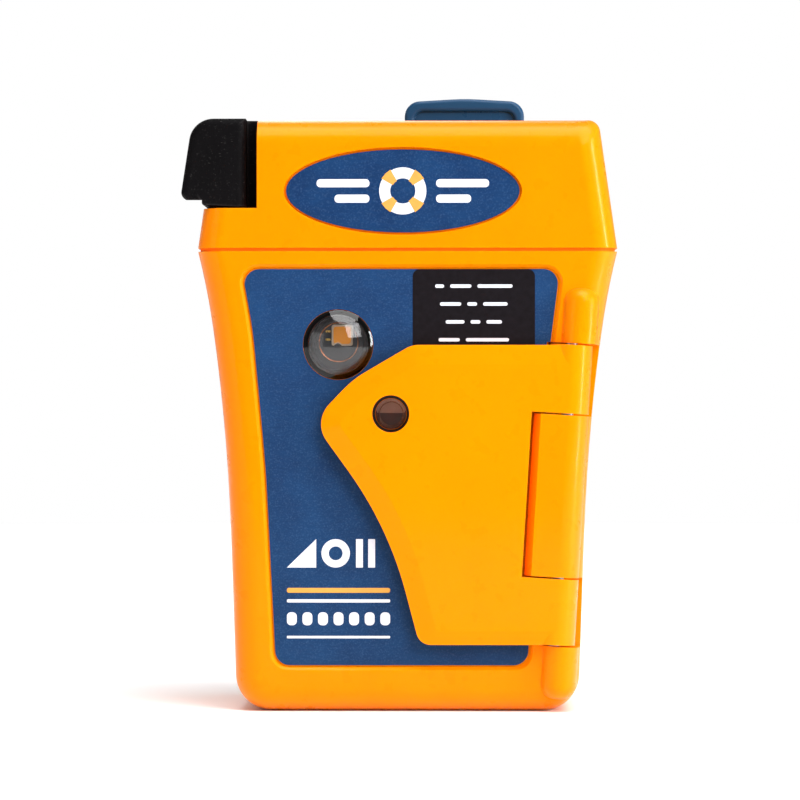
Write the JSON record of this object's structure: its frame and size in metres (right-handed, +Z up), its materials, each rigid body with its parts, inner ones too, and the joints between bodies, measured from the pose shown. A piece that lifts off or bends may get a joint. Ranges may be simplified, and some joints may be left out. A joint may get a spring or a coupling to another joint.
{
  "type": "emergency position beacon",
  "caption": "Pocket radio distress beacon: tapered orange case with strobe, hinged flap over its buttons, pull-out tape antenna under a black cap, and a sprung belt clip.",
  "frame": {"origin": "middle of the flat bottom face that the beacon stands on", "axes": "+Z up through the head, -Y out of the front with the flap, +X to the right of the front, where the flap's hinge is"},
  "size_m": [0.0538, 0.0382, 0.0779],
  "materials": {
    "orange_case": "satin moulded plastic",
    "orange_flap": "satin moulded plastic",
    "orange_seal": "matt silicone",
    "black_seal": "matt rubber",
    "steel": "plain",
    "spring_steel": "plain",
    "blue_label": "printed film",
    "black_cap": "fine matt texture",
    "white_nylon": "plain",
    "black_plastic": "plain",
    "brass": "plain",
    "copper": "polished",
    "clear_lens": "polished clear plastic",
    "smoked_lens": "polished smoked plastic",
    "led_ceramic": "plain",
    "circuit_board": "solder mask",
    "antenna_ceramic": "plain",
    "shield_tin": "plain",
    "cell_can": "printed sleeve",
    "blue_plastic": "satin moulded plastic",
    "red_button": "satin",
    "grey_button": "satin"
  },
  "bodies": {
    "case": {"front_case": "orange_case", "rear_case": "orange_case", "case_gasket": "orange_seal", "case_screws": "steel", "head_cover": "orange_case", "head_gasket": "orange_seal", "head_screws": "steel", "head_badge": "blue_label", "front_label": "blue_label", "rear_label": "blue_label", "tape_lead": "spring_steel", "antenna_guide": "white_nylon", "winder_seal": "black_seal", "feed_cable": "black_plastic", "rf_contact": "brass", "hinge_pin": "steel", "flap_spring": "spring_steel", "strobe_lens": "clear_lens", "strobe_reflector": "black_plastic", "strobe_ring": "copper", "strobe_led": "led_ceramic", "indicator_lens": "smoked_lens", "indicator_bezel": "black_plastic", "indicator_led": "led_ceramic", "button_seals": "black_seal", "main_board": "circuit_board", "board_screws": "steel", "gps_antenna": "antenna_ceramic", "rf_shield": "shield_tin", "processor_chip": "black_plastic", "reference_oscillator": "shield_tin", "tact_switches": "black_plastic", "battery_cells": "cell_can", "battery_holder": "black_plastic", "battery_contacts": "spring_steel", "clip_base": "blue_plastic", "clip_screws": "steel", "clip_pin": "steel", "clip_spring": "spring_steel"},
    "flap": {"flap": "orange_flap"},
    "antenna_cap": {"antenna_cap": "black_cap", "antenna_tape": "spring_steel"},
    "antenna_reel": {"reel_spool": "white_nylon", "tape_coil": "spring_steel", "winder_dial": "black_cap"},
    "on_button": {"on_button": "red_button"},
    "test_button": {"test_button": "grey_button"},
    "clip_lever": {"clip_lever": "blue_plastic"}
  },
  "joints": [
    {"name": "flap_hinge", "type": "hinge", "parent": "case", "child": "flap", "pos_m": [0.0191, -0.0146, 0.0267], "axis": [0.0602, 0, 0.9982], "range_deg": [0, 110], "stiffness_Nm_per_rad": 0.0008, "springref_deg": -28.65, "deforming": ["flap_spring"]},
    {"name": "antenna_pull", "type": "slide", "parent": "case", "child": "antenna_cap", "axis": [0, 0, 1], "range_m": [0, 0.23], "deforming": ["antenna_tape"]},
    {"name": "reel_spin", "type": "hinge", "parent": "case", "child": "antenna_reel", "pos_m": [-0.009, 0, 0.064], "axis": [0, 1, 0], "range_deg": [0, 2750]},
    {"name": "on_press", "type": "slide", "parent": "case", "child": "on_button", "axis": [0, 1, 0], "range_m": [0, 0.0006], "stiffness_N_per_m": 900, "springref_m": -0.0002},
    {"name": "test_press", "type": "slide", "parent": "case", "child": "test_button", "axis": [0, 1, 0], "range_m": [0, 0.0006], "stiffness_N_per_m": 900, "springref_m": -0.0002},
    {"name": "clip_press", "type": "hinge", "parent": "case", "child": "clip_lever", "pos_m": [0.0071, 0.01775, 0.05], "axis": [1, 0, 0], "range_deg": [0, 7], "stiffness_Nm_per_rad": 0.03, "springref_deg": -14.32, "deforming": ["clip_spring"]}
  ],
  "couplings": [
    {"joint": "reel_spin", "follows": "antenna_pull", "rad_per_m": 204}
  ]
}
